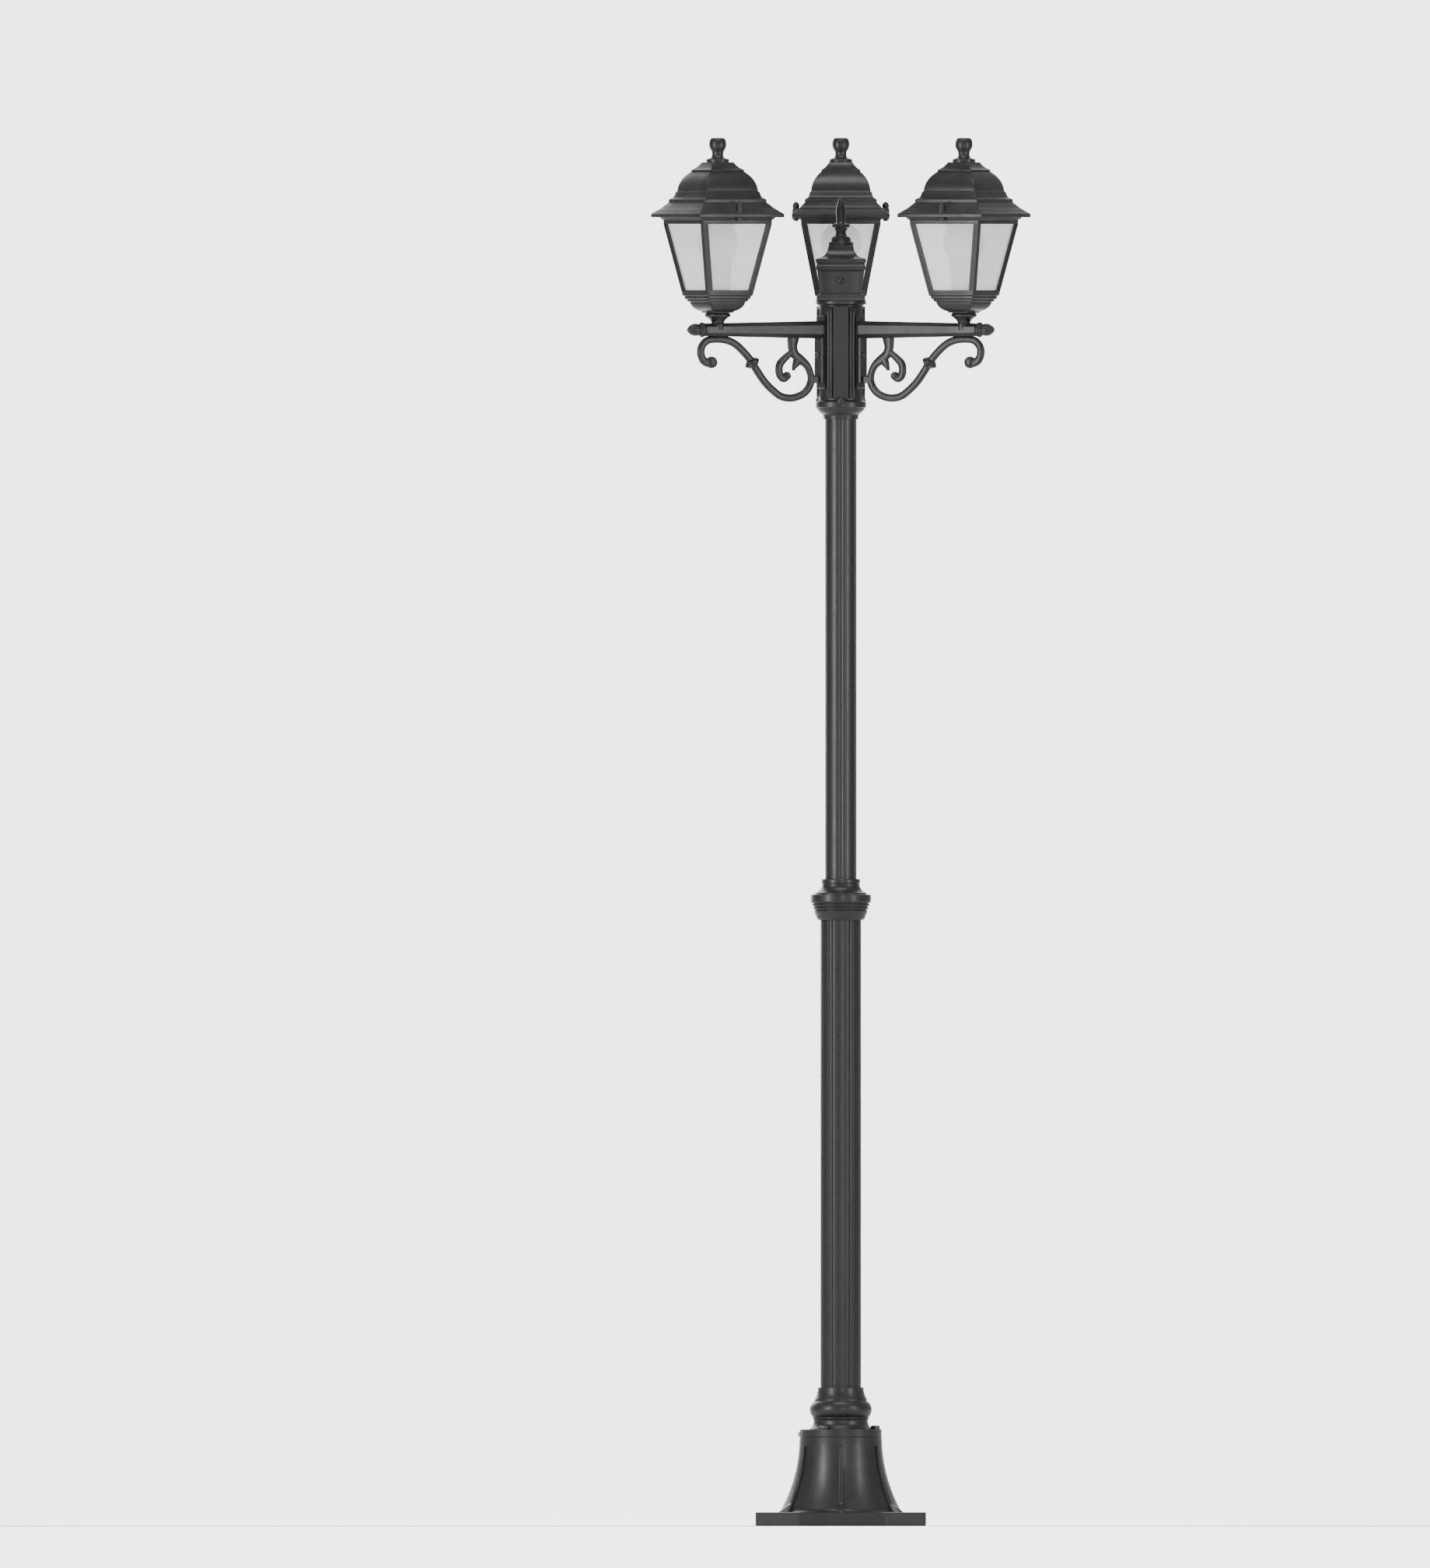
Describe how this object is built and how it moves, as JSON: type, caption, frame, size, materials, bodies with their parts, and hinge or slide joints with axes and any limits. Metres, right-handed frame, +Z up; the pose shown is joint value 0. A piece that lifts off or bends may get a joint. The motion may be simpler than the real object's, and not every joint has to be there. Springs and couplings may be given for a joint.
{
  "type": "street lamp post",
  "caption": "Fluted garden or street lamp post on a bell base, with scroll arms that carry square tapered lanterns whose roofs lift off.",
  "frame": {"origin": "on the column's axis, at the underside of the base plate", "axes": "+Z up the column; the rear arm points along +Y, and the two front arms point 30 degrees either side of -Y's flanks, at 210 and 330 degrees"},
  "size_m": [0.548, 0.4746, 2],
  "materials": {
    "black_enamel": "satin powder coat over cast aluminium",
    "black_steel": "blackened zinc plate",
    "brass": "turned",
    "frosted_pane": "lightly frosted",
    "white_ceramic": "glazed",
    "opal_lamp": "opal globe with a metal screw cap",
    "cable_sheath": "moulded sheath"
  },
  "bodies": {
    "post": {"base_casting": "black_enamel", "pole_socket": "black_enamel", "flange_bolts": "black_steel", "earth_screw": "brass", "lower_tube": "black_enamel", "mid_collar": "black_enamel", "collar_screw": "black_steel", "upper_tube": "black_enamel", "head_socket": "black_enamel", "column_head": "black_enamel", "head_ring": "black_enamel", "head_screws": "black_steel", "arm_screws": "black_steel", "terminal_block": "white_ceramic", "left_arm": "black_enamel", "left_arm_tip": "black_enamel", "left_stem": "black_enamel", "left_tube_and_nut": "brass", "left_cage": "black_enamel", "left_panes": "frosted_pane", "left_roof_studs": "black_steel", "left_lamp_holder": "white_ceramic", "left_lamp": "opal_lamp", "left_lamp_lead": "cable_sheath", "right_arm": "black_enamel", "right_arm_tip": "black_enamel", "right_stem": "black_enamel", "right_tube_and_nut": "brass", "right_cage": "black_enamel", "right_panes": "frosted_pane", "right_roof_studs": "black_steel", "right_lamp_holder": "white_ceramic", "right_lamp": "opal_lamp", "right_lamp_lead": "cable_sheath", "rear_arm": "black_enamel", "rear_arm_tip": "black_enamel", "rear_stem": "black_enamel", "rear_tube_and_nut": "brass", "rear_cage": "black_enamel", "rear_panes": "frosted_pane", "rear_roof_studs": "black_steel", "rear_lamp_holder": "white_ceramic", "rear_lamp": "opal_lamp", "rear_lamp_lead": "cable_sheath"},
    "left_roof_group": {"left_roof": "black_enamel", "left_roof_finial": "black_enamel", "left_roof_nuts": "black_enamel"},
    "right_roof_group": {"right_roof": "black_enamel", "right_roof_finial": "black_enamel", "right_roof_nuts": "black_enamel"},
    "rear_roof_group": {"rear_roof": "black_enamel", "rear_roof_finial": "black_enamel", "rear_roof_nuts": "black_enamel"},
    "cap_group": {"head_cap": "black_enamel", "cap_screw": "black_steel", "cap_finial": "black_enamel"}
  },
  "joints": [
    {"name": "left_roof_lift", "type": "slide", "parent": "post", "child": "left_roof_group", "axis": [0, 0, 1], "range_m": [0, 0.12]},
    {"name": "right_roof_lift", "type": "slide", "parent": "post", "child": "right_roof_group", "axis": [0, 0, 1], "range_m": [0, 0.12]},
    {"name": "rear_roof_lift", "type": "slide", "parent": "post", "child": "rear_roof_group", "axis": [0, 0, 1], "range_m": [0, 0.12]},
    {"name": "head_cap_lift", "type": "slide", "parent": "post", "child": "cap_group", "axis": [0, 0, 1], "range_m": [0, 0.06]}
  ]
}
